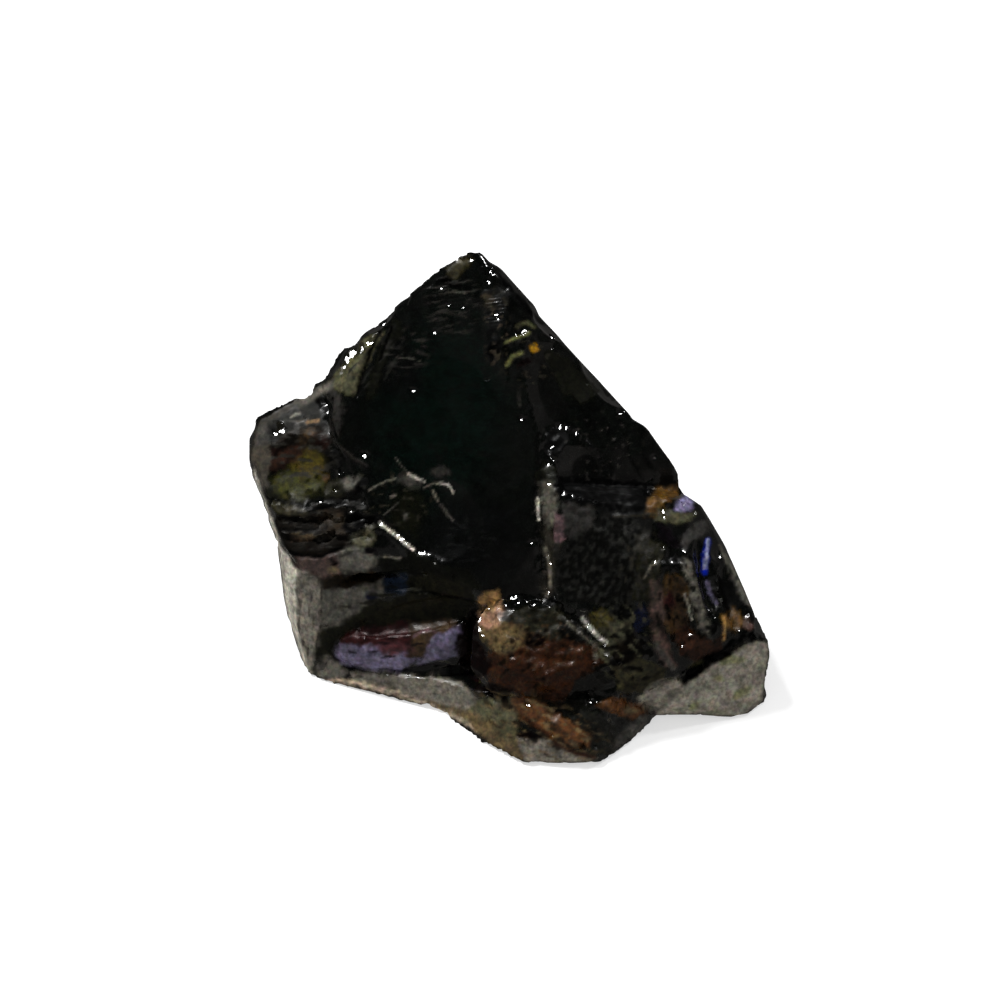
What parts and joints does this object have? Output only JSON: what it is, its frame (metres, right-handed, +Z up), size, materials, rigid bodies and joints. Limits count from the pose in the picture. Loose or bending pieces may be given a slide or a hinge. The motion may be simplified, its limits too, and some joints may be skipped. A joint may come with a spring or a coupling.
{
  "type": "raw shungite stone",
  "caption": "Rough lump of glassy black shungite with a peaked face, dished conchoidal breaks, sharp ridges and a flat broken underside to rest on.",
  "frame": {"origin": "middle of the stone's footprint, on the surface that it stands on", "axes": "+Z up, +X along the stone's width, +Y away from the side that shows the tall peaked face"},
  "size_m": [0.0402, 0.032, 0.0305],
  "materials": {
    "shungite": "glassy black carbon with a semi-metallic gloss, thin rust, olive and violet-blue tarnish in the hollows, and a dull grey break on one low facet"
  },
  "bodies": {
    "root": {"shungite_stone": "shungite"}
  },
  "joints": []
}
